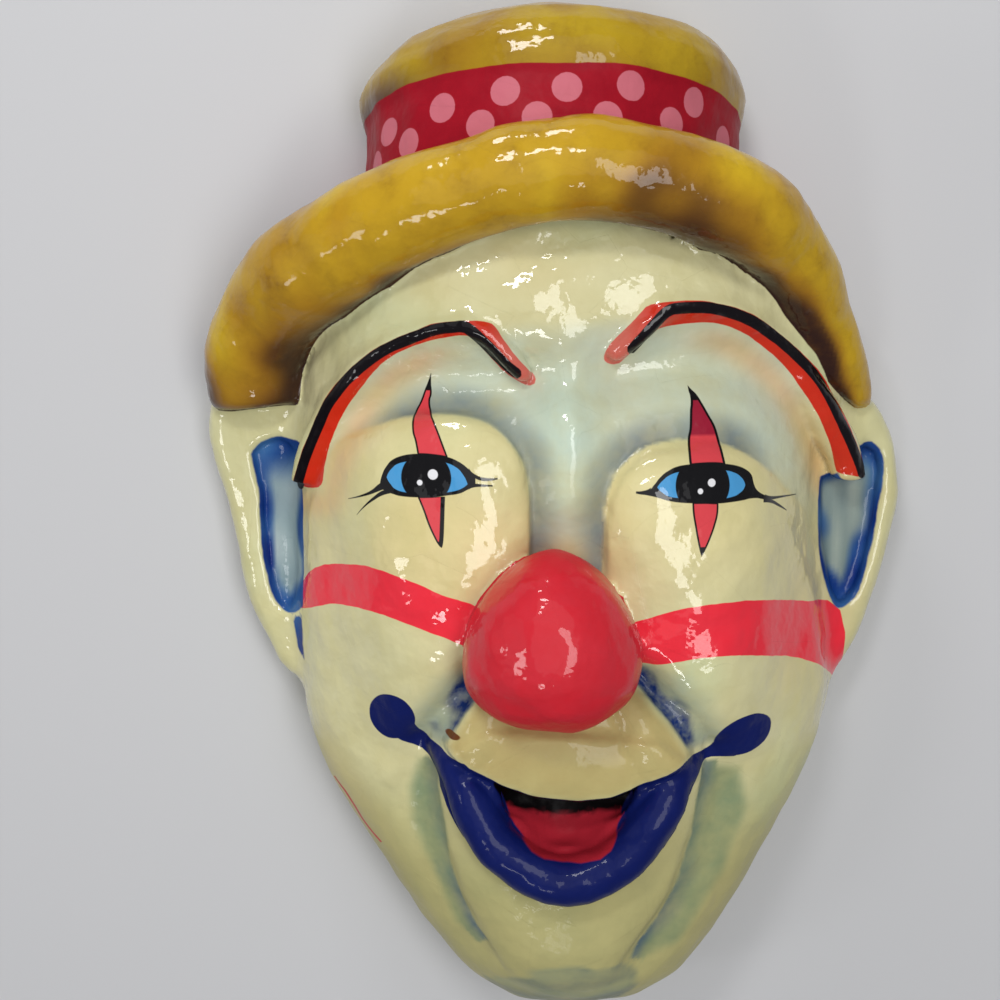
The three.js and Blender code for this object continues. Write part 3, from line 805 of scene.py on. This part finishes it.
def hat_colour_and_shade(x, y, z, past_face, on_crown, along):
    """Golden hat with painted shade, browner and darker towards the forehead and the band."""
    gold = layered((0.77, 0.61, 0.13), [
        ((0.84, 0.70, 0.14), ramp(-0.5, 1.5, lumps(x, y, z, 30, 51))),
        ((0.68, 0.49, 0.11), 0.65 * ramp(0.2, 1.8, lumps(x, y, z, 22, 52))),
    ])
    # How far the painted shade in the crease reaches from the forehead, by x
    reach = 11 + 14 * ramp(-85, -135, x) + 2 * ramp(55, 105, x) + 26 * bump((x - 48) / 42)
    past_face = past_face + 3 * lumps(x, y, z, 15, 53)
    outer = path_distance(x, y, [spot[:2] for spot in BRIM_PATH], signed=True)
    past_face = past_face + 1.3 * maximum(outer + 3, 0) * ramp(-95, -70, x)
    corner = bump((x + 88) / 20) * ramp(CROWN_BAND_TOP + 16, CROWN_BAND_TOP, along)
    return layered(gold * (1 - 0.14 * on_crown[..., None]), [
        # Painted shade: brown, then near black, under the brim towards the forehead
        ((0.56, 0.36, 0.10), 0.75 * ramp(1.6 * reach, 0.5 * reach, past_face) * (1 - on_crown)),
        ((0.16, 0.08, 0.09), 0.93 * ramp(reach, 0.2 * reach, past_face) * (1 - on_crown)),
        # Painted shade on the crown's lower left corner, over the band
        ((0.26, 0.17, 0.22), 0.85 * corner * on_crown),
    ])


def store(layers, name, kind, values, count, inner):
    """Adds a vertex attribute: values on the outside, and one value on all the inside."""
    whole = np.full((count, *values.shape[1:]), inner, np.float32)
    whole[:len(values)] = values
    layer = layers.new(name, kind, "POINT")
    layer.data.foreach_set("color" if kind == "FLOAT_COLOR" else "value", whole.ravel())


def paint_skin(skin, grid, parts, outside_count):
    """Stores, for each vertex, soft colours and distances in millimetres to the painted edges."""
    mesh = skin.data
    count = len(mesh.vertices)
    flat = np.empty(count * 3)
    mesh.vertices.foreach_get("co", flat)
    p = flat.reshape(-1, 3)[:outside_count] / MM
    x, y, z = p.T
    field = {name: grid.sample(values, p) for name, values in parts.items()}
    along, _ = crown_place(x, y, z)
    past_brim = field["crown"] - field["brim"]
    on_crown = ramp(1.5, -1.5, past_brim)
    band_top = CROWN_BAND_TOP + 1.5 + 0.5 * lumps(x, y, z, 25, 61)
    lip = minimum(field["lip"] - field["head"] - 0.3, outline_distance(x, y, LIP_AREA))
    for ball in LIP_BALLS:
        lip = minimum(lip, ball_outline(x, y, ball))
    ears = minimum(rounded_distance(x, y, EAR_BLUES), outline_distance(x, y, EAR_MARK))
    blacks = [curve_points(path, 3) for path in BROW_BLACK]
    left, right = (path_distance(x, y, path, signed=True) for path in blacks)
    black_reach = minimum(*(path_distance(x, y, path) for path in blacks))
    # The face behind the brim takes the hat's paint at its darkest, as painted shade
    behind_brim = maximum(z - 18 - 0.757 * (y - 60), 66 - y)
    mouth = minimum(field["mouth"] - 1.3, maximum(z - 118, y + 124))
    brow_back = BROW_BACK_Z - z
    dots = (p[:, None, :] - np.array(DOTS, float)[None]) ** 2
    distances = {
        "hat": minimum(field["hat"] - field["face"], behind_brim),
        "band": maximum(along - band_top, past_brim),
        "stripe": maximum(rounded_distance(x, y, STRIPES), STRIPE_BACK_Z - z),
        "nose": field["nose"] - field["plain"] - 1.2,
        "lip": maximum(lip, -outline_distance(x, y, LIP_PAD) - 1.5),
        "mouth": maximum(outline_distance(x, y, MOUTH_AREA), mouth),
        "ear": maximum(ears, z - EAR_BLUE_TOP_Z),
        "brow_red": maximum(rounded_distance(x, y, BROW_RED), brow_back),
        "brow_black": where(x < SOCKET_X, left, right),
        "brow_black_reach": maximum(black_reach, brow_back),
        "jaw_line": path_distance(x, y, JAW_LINE, signed=True),
        "jaw_line_reach": path_distance(x, y, JAW_LINE),
        "dot": sqrt(dots.sum(2)).min(1) - DOT_RADIUS,
    }
    for name, values in distances.items():
        store(mesh.attributes, name, "FLOAT", values, count, FAR)
    store(mesh.attributes, "wing", "FLOAT", wing_blue(x, y, z), count, 0)
    store(mesh.attributes, "matte", "FLOAT", matte_share(x, y, z), count, 0)
    store(mesh.attributes, "inside", "FLOAT", 0 * x, count, 1)
    # Painted shadow: black high and deep in the mouth, in the gap under the upper lip pad
    under = y + 0.4 * (108 - z) - 0.004 * (x - 5) ** 2 + 0.7 * lumps(x, y, z, 7, 71)
    tints = {
        "face": face_tint(x, y, z),
        "ear": ear_tint(x, y, z),
        "hat": hat_colour_and_shade(x, y, z, field["face"], on_crown, along),
        "mouth": mix((0.68, 0.145, 0.20), (0.02, 0.01, 0.015), ramp(-121.5, -119, under)),
    }
    for name, colour in tints.items():
        opaque = np.hstack([linear(colour), np.ones((len(p), 1))])
        store(mesh.color_attributes, name + "_tint", "FLOAT_COLOR", opaque, count, 1)


class Value:
    """A number in the shader that can be added to, scaled and compared like any other."""

    def __init__(self, graph, socket):
        self.graph, self.socket = graph, socket

    def __add__(self, other):
        return self.graph.math("ADD", self, other)

    def __sub__(self, other):
        return self.graph.math("SUBTRACT", self, other)

    def __rsub__(self, other):
        return self.graph.math("SUBTRACT", other, self)

    def __mul__(self, other):
        return self.graph.math("MULTIPLY", self, other)

    def __neg__(self):
        return self * -1

    def __abs__(self):
        return self.graph.math("ABSOLUTE", self)

    __radd__, __rmul__ = __add__, __mul__


def set_inputs(node, values):
    for name, value in values.items():
        node.inputs[name].default_value = value


class Graph:
    """Writes a material's nodes."""

    def __init__(self, material):
        material.use_nodes = True
        self.tree = material.node_tree
        self.shader = self.tree.nodes["Principled BSDF"]
        self.object_place = self.node("TexCoord").outputs["Object"]

    def node(self, kind, **settings):
        made = self.tree.nodes.new("ShaderNode" + kind)
        for name, value in settings.items():
            setattr(made, name, value)
        return made

    def link(self, value, target):
        if isinstance(value, Value):
            value = value.socket
        if isinstance(value, bpy.types.NodeSocket):
            self.tree.links.new(value, target)
        else:
            target.default_value = value

    def math(self, operation, *values, clamp=False):
        made = self.node("Math", operation=operation, use_clamp=clamp)
        for value, target in zip(values, made.inputs):
            self.link(value, target)
        return Value(self, made.outputs[0])

    def most(self, *values):
        """Greatest of several values: where all the shapes overlap."""
        return reduce(lambda a, b: self.math("MAXIMUM", a, b), values)

    def least(self, *values):
        """Least of several values: the shapes together."""
        return reduce(lambda a, b: self.math("MINIMUM", a, b), values)

    def attribute(self, name):
        return Value(self, self.node("Attribute", attribute_name=name).outputs["Fac"])

    def tint(self, name):
        return self.node("Attribute", attribute_name=name + "_tint").outputs["Color"]

    def texture(self, kind, size, **inputs):
        """A texture's outputs, with features of a size in millimetres."""
        made = self.node(kind)
        set_inputs(made, {"Scale": 1 / (size * MM), **inputs})
        self.link(self.object_place, made.inputs["Vector"])
        return made.outputs

    def noise(self, size, detail=3, roughness=0.5):
        """Noise from 0 to 1."""
        made = self.texture("TexNoise", size, Detail=detail, Roughness=roughness)
        return Value(self, made["Fac"])

    def strips(self, size):
        """A level from 0 to 1 for each patch of paper, pasted edge over edge."""
        level = self.node("SeparateColor")
        self.link(self.texture("TexVoronoi", size)["Color"], level.inputs[0])
        return Value(self, level.outputs[0])

    def place(self):
        """Object coordinates x, y and z in millimetres."""
        split = self.node("SeparateXYZ")
        self.link(self.object_place, split.inputs[0])
        return [Value(self, out) * (1 / MM) for out in split.outputs]

    def ellipse(self, x, y, cx, cy, rx, ry):
        """Distance in millimetres to the edge of an ellipse, near enough for its paint."""
        u, v = x - cx, y - cy
        return (self.math("SQRT", u * u * (1 / rx ** 2) + v * v * (1 / ry ** 2)) - 1) * min(rx, ry)

    def curve(self, value, points):
        """Smooth curve through points (input, output), level past its ends."""
        points = sorted(points)
        low, high = points[0][0], points[-1][0]
        floor = min(q for _, q in points)
        rise = max(max(q for _, q in points) - floor, 1e-6)
        made = self.node("FloatCurve")
        self.link((value - low) * (1 / (high - low)), made.inputs["Value"])
        curve = made.mapping.curves[0]
        spots = [((a - low) / (high - low), (q - floor) / rise) for a, q in points]
        curve.points[0].location = spots[0]
        curve.points[1].location = spots[-1]
        for spot in spots[1:-1]:
            curve.points.new(*spot)
        made.mapping.extend = "HORIZONTAL"
        made.mapping.update()
        return Value(self, made.outputs[0]) * rise + floor

    def inside(self, distance, soft=0.35):
        """Share of paint: 1 inside a shape, 0 outside, with an edge soft millimetres wide."""
        return self.math("MULTIPLY_ADD", distance, -1 / soft, 0.5, clamp=True)

    def mix(self, share, a, b):
        made = self.node("Mix", data_type="RGBA")
        self.link(share, made.inputs[0])
        for value, target in ((a, made.inputs[6]), (b, made.inputs[7])):
            if isinstance(value, tuple):
                value = (*linear(value[:3]).tolist(), 1.0)
            self.link(value, target)
        return made.outputs[2]


# Left eye, then right eye: curves of the outline by x, flame edges by y, lashes as x, y and half width
EYES = [{
    "top": [(-83, 30), (-82, 35.2), (-79.7, 39.7), (-76.9, 42.6), (-72.6, 44.5), (-68.3, 45.4),
        (-62.6, 45.7), (-58.4, 45.5), (-51.4, 44.6), (-46.5, 42.7), (-42.3, 39.7), (-39, 36.4)],
    "bottom": [(-83, 30), (-79.6, 28.1), (-76.7, 27.3), (-72.4, 26.5), (-65.3, 26.3), (-58.3, 26.6),
        (-52, 27.5), (-47.2, 28.3), (-43, 30.1), (-39, 32.6)],
    "iris_top": [(-79.6, 34.8), (-78.6, 37), (-77, 38.9), (-74.7, 40.7), (-70.7, 41.9), (-61, 43),
        (-52.1, 42), (-47.9, 40.3), (-44.8, 37.3), (-42.6, 33)],
    "iris_bottom": [(-79.6, 34.4), (-77.8, 31.7), (-74.6, 29.2), (-71, 28.4), (-61, 28), (-51.7, 29),
        (-47.9, 29.8), (-44.8, 31.1), (-42.6, 32.8)],
    "disc": (-61.4, 35.2, 11.5, 11.3),
    "lights": [(-58.3, 36.7, 2.3), (-64.3, 32.9, 1.25)],
    "flames": [
        {"left": [(44, -65.2), (51.1, -66.6), (56.3, -68.1), (60.1, -68.2), (63.3, -67.2), (68.2, -64.8),
            (73.1, -63), (76.7, -61.5), (81, -60)],
         "right": [(44, -51.2), (48.9, -53.2), (54.1, -55.3), (59.3, -57.6), (63.6, -59.5), (68.3, -60.3),
             (71.7, -59.6), (76, -59.9), (81, -59.8)],
         "lines": (0.9, 0.9), "red": (44, 73)},
        {"left": [(27, -65.5), (20, -62.5), (15.3, -60.8), (9.9, -58.3), (5.2, -55.5), (4.2, -54.3)],
         "right": [(27, -52.7), (21.6, -52.9), (14.8, -53.1), (8, -53.4), (4.2, -54.3)],
         "lines": (0.9, 2), "red": (7, 27)},
    ],
    "lashes": [
        [(-98.8, 22.7, 0.15), (-91.6, 25.2, 0.5), (-87, 27.3, 0.9), (-83.5, 29.6, 1.6), (-80, 31.5, 2)],
        [(-94.4, 15.9, 0.15), (-90.1, 20.8, 0.5), (-85.5, 24.8, 0.9), (-81.8, 27.3, 1.1), (-78, 28.5, 1)],
        [(-42, 38.5, 1.5), (-39, 36.2, 0.9), (-34.8, 34.9, 0.75), (-29, 35.1, 0.3)],
        [(-42, 31.3, 1.2), (-39, 32.3, 0.8), (-35.4, 32.2, 0.55), (-31.3, 32, 0.35)],
    ],
}, {
    "top": [(36, 29), (38.7, 29.6), (41.5, 32.1), (44.3, 35.4), (47.9, 38.1), (52.9, 40.1), (58.7, 40.8),
        (64.5, 41.1), (70.4, 41), (75.6, 40.3), (80.9, 39.2), (85.4, 37.2), (88.1, 34.6), (89.1, 30.8),
        (90.6, 27.8), (93.9, 25.4), (97, 24.2)],
    "bottom": [(36, 27.8), (40.7, 27), (44.2, 26.1), (48.4, 24.9), (54, 24), (59.7, 23.6), (65.5, 23.4),
        (71.3, 23), (77.3, 23.2), (83.4, 23.7), (88.1, 24.2), (93, 23.4), (97, 22.2)],
    "iris_top": [(43, 31.2), (45.7, 34.2), (49.2, 36.5), (52.8, 37.5), (64, 38.3), (75.3, 37.4),
        (79.2, 36.3), (82.7, 34), (84.6, 30.8)],
    "iris_bottom": [(43, 30.8), (45.6, 28.4), (49.1, 26.7), (53, 26.1), (64, 25), (74.2, 25.1),
        (78.1, 25.6), (81.7, 27), (84.6, 30.2)],
    "disc": (64.1, 31.3, 12.8, 12.8),
    "lights": [(68.2, 32.4, 1.8), (62.8, 28.8, 1.25)],
    "flames": [
        {"left": [(40, 58.2), (46.4, 57.8), (51.7, 58.1), (57.3, 58.9), (64.2, 59), (68.9, 59.4),
            (73, 58.7), (75.6, 58.3)],
         "right": [(40, 75.3), (44.5, 74.4), (51.3, 72.9), (57, 71), (62.6, 67.8), (67.4, 65),
             (71.6, 62.3), (74.3, 59.6), (75.6, 58.5)],
         "lines": (1.2, 1.2), "red": (40, 69)},
        {"left": [(24, 58.9), (19.5, 59.1), (14, 60), (7.8, 61.1), (2.3, 62.3), (-0.2, 63.1)],
         "right": [(24, 71.3), (19, 71.1), (13.7, 69.7), (9.7, 68.2), (5.6, 66.4), (2.3, 64.7),
             (-0.2, 63.2)],
         "lines": (0.9, 0.9), "red": (4, 24)},
    ],
    "lashes": [
        [(33.4, 28.6, 0.5), (36, 28.5, 0.8), (40, 29.5, 1.4)],
        [(95, 23.8, 1.4), (100, 23, 0.7), (107.3, 22.6, 0.4), (114.2, 22, 0.15)],
        [(94, 22.9, 1.2), (98.1, 21.8, 0.9), (102.6, 19.3, 0.7), (107.7, 15.9, 0.2)],
    ],
}]


# Paint colours with crisp edges
EYE_BLACK = (0.045, 0.04, 0.05)
BROW_BLACK_PAINT = (0.06, 0.04, 0.06)
IRIS_BLUE = (0.30, 0.62, 0.84)
EYE_LIGHT = (0.93, 0.93, 0.94)
FLAME_RED = (0.88, 0.28, 0.31)
FLAME_DARK = (0.62, 0.13, 0.22)
HAT_DIRT = (0.45, 0.29, 0.10)
FACE_CLOUD = (0.80, 0.76, 0.52)
WING_BLUE = (0.10, 0.19, 0.42)
DOT_PINK = (0.79, 0.43, 0.48)
BROW_ARM_PINK = (0.84, 0.42, 0.36)
CHIP_BROWN = (0.42, 0.24, 0.11)
JAW_LINE_RED = (0.80, 0.22, 0.20)
# Pairs that a brushed streak runs between
BAND_REDS = (0.55, 0.07, 0.13), (0.66, 0.10, 0.16)
STRIPE_REDS = (0.97, 0.15, 0.22), (0.95, 0.22, 0.28)
LIP_BLUES = (0.05, 0.09, 0.33), (0.08, 0.13, 0.39)
NOSE_REDS = (0.83, 0.12, 0.17), (0.82, 0.20, 0.25)
BROW_REDS = (0.84, 0.14, 0.06), (0.82, 0.22, 0.11)
PAPER_BROWNS = (0.55, 0.50, 0.42), (0.70, 0.66, 0.58)
# Brown chip on the upper lip: centre and half sizes
CHIP = (-50, -84.4, 3.6, 1.7)


def stroke(g, x, y, points):
    """Distance to a brush stroke given as x, y and half width."""
    middle = g.curve(x, [(a, b) for a, b, _ in points])
    half = g.curve(x, [(a, w) for a, _, w in points])
    return g.most(abs(y - middle) - half, points[0][0] - x, x - points[-1][0])


def paint_eye(g, under, x, y, eye, red):
    """One eye with its iris, lights, flames and lashes, over the colours under it."""
    top, bottom = g.curve(x, eye["top"]), g.curve(x, eye["bottom"])
    lids = g.most(y - top, bottom - y)
    black = g.most(lids, eye["top"][0][0] - x, x - eye["top"][-1][0])
    black = g.least(black, *(stroke(g, x, y, lash) for lash in eye["lashes"]))
    flames = []
    for flame in eye["flames"]:
        left, right = g.curve(y, flame["left"]), g.curve(y, flame["right"])
        ends = [p[0] for p in flame["left"]]
        black = g.least(black, g.most(left - x, x - right, min(ends) - y, y - max(ends)))
        line_left, line_right = flame["lines"]
        low, high = flame["red"]
        flames.append(g.most(left + line_left - x, x - (right - line_right), low - y, y - high))
    ring = eye["iris_top"]
    iris = g.most(y - g.curve(x, ring), g.curve(x, eye["iris_bottom"]) - y,
                  ring[0][0] - x, x - ring[-1][0], -g.ellipse(x, y, *eye["disc"]))
    layers = [(black, EYE_BLACK), (g.most(g.least(*flames), 0.3 - lids), red), (iris, IRIS_BLUE)]
    layers += [(g.ellipse(x, y, lx, ly, radius, radius), EYE_LIGHT) for lx, ly, radius in eye["lights"]]
    for shape, paint in layers:
        under = g.mix(g.inside(shape), under, paint)
    return under


def lacquered_paint():
    """All the outside paint under a clear lacquer, and bare paper inside."""
    material = bpy.data.materials.new("lacquered_paint")
    g = Graph(material)
    x, y, _ = g.place()
    wobble = (g.noise(9, 2) - 0.5) * 1.6
    dirt = g.curve(g.noise(16, 4, 0.65), [(0.3, 0), (0.5, 0.08), (0.72, 0.5)])
    cloud = g.curve(g.noise(22, 3, 0.6), [(0.35, 0), (0.7, 0.4)])
    streak = g.noise(14, 3, 0.6)
    to = {name: g.attribute(name) for name in (
        "hat", "band", "dot", "stripe", "ear", "lip", "mouth", "nose", "brow_red", "brow_black",
        "brow_black_reach", "jaw_line", "jaw_line_reach")}
    bare = g.attribute("inside")
    off_hat = -to["hat"]
    on_hat = g.inside(to["hat"] + 0.4 * wobble, 0.6)
    on_wing = g.attribute("wing") * g.curve(g.noise(5, 2, 0.6), [(0.3, 0.65), (0.6, 1)])
    on_band = g.inside(g.most(to["band"] + 0.5 * wobble, to["hat"]))
    on_dot = g.inside(g.most(to["dot"] + 0.3 * wobble, to["band"]))
    on_stripe = g.inside(g.most(to["stripe"] + 0.6 * wobble, off_hat))
    on_ear = g.inside(to["ear"] + wobble, 0.8)
    on_lip = g.inside(to["lip"] + 0.4 * wobble)
    in_mouth = g.inside(to["mouth"], 0.6)
    on_nose = g.inside(to["nose"])
    on_brow = g.inside(g.most(to["brow_red"] + 0.5 * wobble, off_hat))
    on_black = g.inside(g.most(abs(to["brow_black"]) - BROW_LINE_WIDTH / 2,
                               to["brow_black_reach"] - BROW_LINE_END) + 0.35 * wobble)
    on_chip = g.inside(g.ellipse(x, y, *CHIP) + 0.6 * wobble)
    on_jaw_line = g.inside(g.most(abs(to["jaw_line"]) - 0.8, to["jaw_line_reach"] - 1.5))
    brow_arms = g.inside(abs(x - 3) - 32, 12)
    layers = [
        (cloud, FACE_CLOUD),
        # Hat colours with their painted shade, and random dirt over them
        (on_hat, g.mix(dirt, g.tint("hat"), HAT_DIRT)),
        (on_wing, WING_BLUE),
        (on_band, g.mix(streak, *BAND_REDS)),
        (on_dot, DOT_PINK),
        (on_stripe, g.mix(streak, *STRIPE_REDS)),
        (on_ear, g.tint("ear")),
        (on_lip, g.mix(streak, *LIP_BLUES)),
        # Red inside of the mouth, with its painted shadow under the pad
        (in_mouth, g.tint("mouth")),
        (on_nose, g.mix(streak, *NOSE_REDS)),
        (on_brow, g.mix(brow_arms, g.mix(streak, *BROW_REDS), BROW_ARM_PINK)),
        (on_black, BROW_BLACK_PAINT),
        (on_chip, CHIP_BROWN),
        (on_jaw_line, JAW_LINE_RED),
    ]
    # Face colours, their painted shade included
    colour = g.tint("face")
    for share, paint in layers:
        colour = g.mix(share, colour, paint)
    darker_above = g.mix(g.inside(53 - y, 1.5), FLAME_RED, FLAME_DARK)
    for eye, red in zip(EYES, (FLAME_RED, darker_above)):
        colour = paint_eye(g, colour, x, y, eye, red)
    colour = g.mix(bare, colour, g.mix(g.noise(30, 3, 0.6), *PAPER_BROWNS))
    g.link(colour, g.shader.inputs["Base Color"])
    g.link(g.math("MULTIPLY_ADD", bare, 0.45, 0.38), g.shader.inputs["Roughness"])
    dull = bare + g.attribute("matte") * (1 - on_lip)
    for share, amount in ((in_mouth, 0.5), (on_lip, 0.82), (on_wing, 0.8), (on_ear, 0.6),
                          (on_band, 0.75), (on_hat, 0.4), (on_black, 0.4), (on_nose, 0.35)):
        dull = dull + amount * share
    g.link(g.math("SUBTRACT", 1, dull, clamp=True), g.shader.inputs["Coat Weight"])
    set_inputs(g.shader, {"Coat Roughness": 0.04, "Specular IOR Level": 0.06, "Coat IOR": 1.5})
    bumps = g.node("Bump")
    set_inputs(bumps, {"Distance": 0.95 * MM, "Strength": 0.75})
    g.link(g.noise(8, 1.6) + 0.06 * g.noise(2.2, 1) + 0.35 * g.strips(34), bumps.inputs["Height"])
    for name in ("Normal", "Coat Normal"):
        g.link(bumps.outputs["Normal"], g.shader.inputs[name])
    return material


# Camera above the lying mask, leaning a little towards the hat, as the photograph sees the face
CAMERA_LEAN = math.radians(8)
CAMERA_TARGET = (-28, 21.5, 80)
CAMERA_DISTANCE = 704
CAMERA_LENS = 54


def add_camera():
    back = Vector((0, math.sin(CAMERA_LEAN), math.cos(CAMERA_LEAN)))
    up = Vector((0, math.cos(CAMERA_LEAN), -math.sin(CAMERA_LEAN)))
    spot = Vector(CAMERA_TARGET) * MM + back * CAMERA_DISTANCE * MM
    camera = add_object("camera", bpy.data.cameras.new("camera"))
    camera.data.lens = CAMERA_LENS
    camera.data.sensor_width = 36
    camera.matrix_world = Matrix((
        (1, up.x, back.x, spot.x), (0, up.y, back.y, spot.y), (0, up.z, back.z, spot.z), (0, 0, 0, 1)))
    bpy.context.scene.camera = camera


# Lights as place and size in metres, and power in watts
LIGHTS = {
    "low_window": ((-0.35, 1.35, 0.42), (0.4, 0.2), 5),
    "high_window": ((-0.25, 0.8, 1.05), (0.34, 0.14), 3.5),
    "top_window": ((0.38, 0.05, 1.4), (0.95, 0.42), 7),
    "left_window": ((-1.1, -0.25, 0.9), (0.22, 0.3), 1.6),
    "chin_window": ((-0.3, -0.75, 1.15), (0.3, 0.14), 1.6),
    "ceiling": ((0, 0.6, 2.2), (2.5, 2.5), 9),
    "left_fill": ((-1.5, 0.1, 0.7), (1, 1), 0.7),
}
LIT_SPOT = Vector((0, 0, 0.06))


def add_studio():
    bpy.ops.mesh.primitive_plane_add(size=12, location=(0, 0, -0.0005))
    floor = bpy.context.object
    floor.name = "floor"
    paint = bpy.data.materials.new("floor")
    paint.use_nodes = True
    set_inputs(paint.node_tree.nodes["Principled BSDF"],
               {"Base Color": (0.62, 0.62, 0.63, 1), "Roughness": 0.7})
    floor.data.materials.append(paint)
    world = bpy.data.worlds.new("studio")
    world.use_nodes = True
    set_inputs(world.node_tree.nodes["Background"], {"Color": (0.9, 0.93, 1, 1), "Strength": 0.17})
    bpy.context.scene.world = world
    bpy.context.scene.view_settings.view_transform = "Standard"
    for name, (place, size, power) in LIGHTS.items():
        light = bpy.data.lights.new(name, "AREA")
        light.shape = "RECTANGLE"
        light.size, light.size_y = size
        light.energy = power
        lamp = add_object(name, light)
        lamp.location = place
        lamp.rotation_euler = (LIT_SPOT - Vector(place)).to_track_quat("-Z", "Y").to_euler()


skin, grid, parts, outside_count = build_mask()
paint_skin(skin, grid, parts, outside_count)
skin.data.materials.append(lacquered_paint())
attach(skin, "root")
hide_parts("clown_mask")
add_camera()
add_studio()
